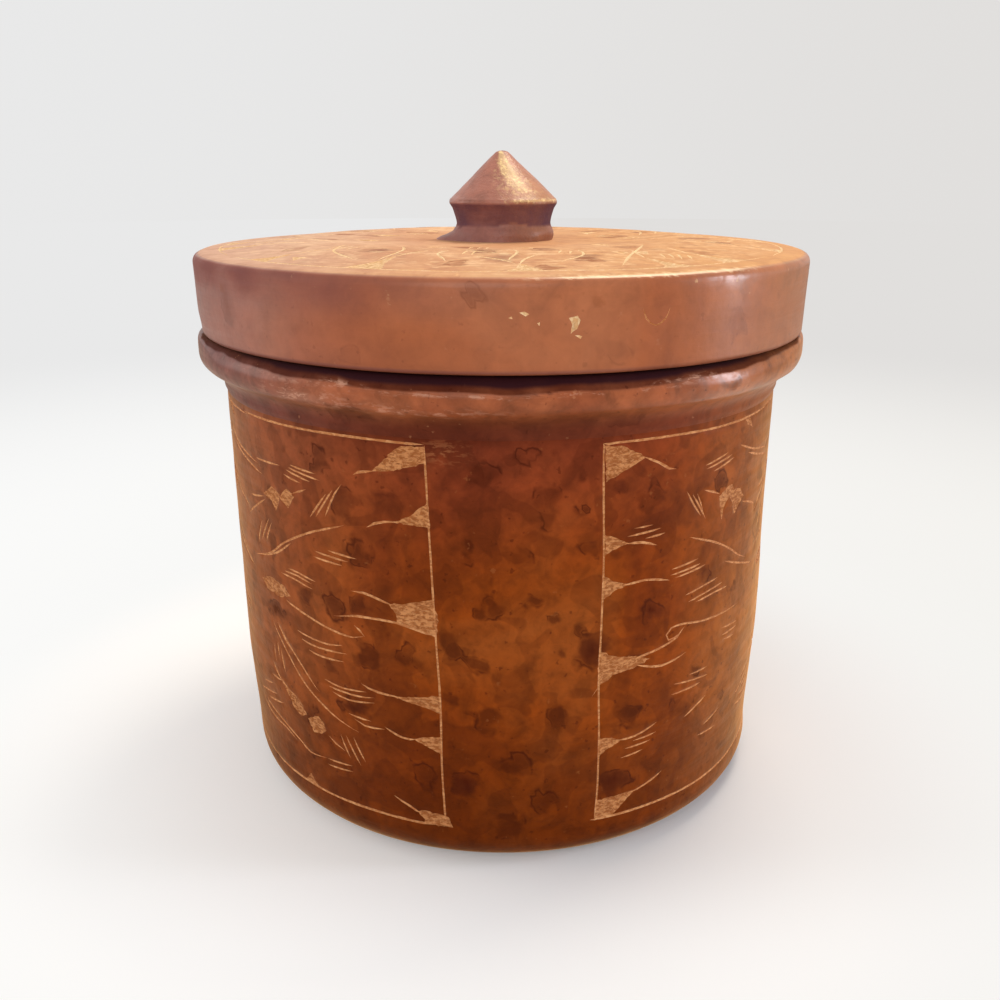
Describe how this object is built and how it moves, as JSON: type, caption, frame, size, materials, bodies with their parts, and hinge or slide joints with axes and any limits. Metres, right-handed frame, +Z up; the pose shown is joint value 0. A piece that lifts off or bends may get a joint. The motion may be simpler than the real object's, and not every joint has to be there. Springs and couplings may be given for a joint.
{
  "type": "lidded pottery jar",
  "caption": "Round burnished clay jar with a coiled collar, and a cap lid with a pointed knob that lifts straight off the jar's neck.",
  "frame": {"origin": "centre of the flat base, on the surface that the jar stands on", "axes": "+Z up along the axis that the jar and lid are turned about; -Y faces the picture's viewer"},
  "size_m": [0.1518, 0.1518, 0.158],
  "materials": {
    "wall_clay": "burnished and waxed, smoke-clouded, incised",
    "floor_clay": "plain fired clay",
    "collar_clay": "burnished and waxed",
    "skirt_clay": "burnished, thinner wax",
    "lid_clay": "burnished, incised",
    "knob_clay": "burnished, with a pale slip band at its foot"
  },
  "bodies": {
    "jar": {"jar_floor": "floor_clay", "jar_wall": "wall_clay", "rim_collar": "collar_clay"},
    "lid": {"lid_skirt": "skirt_clay", "lid_top": "lid_clay", "lid_knob": "knob_clay"}
  },
  "joints": [
    {"name": "lid_lift", "type": "slide", "parent": "jar", "child": "lid", "axis": [0, 0, 1], "range_m": [0, 0.1]}
  ]
}
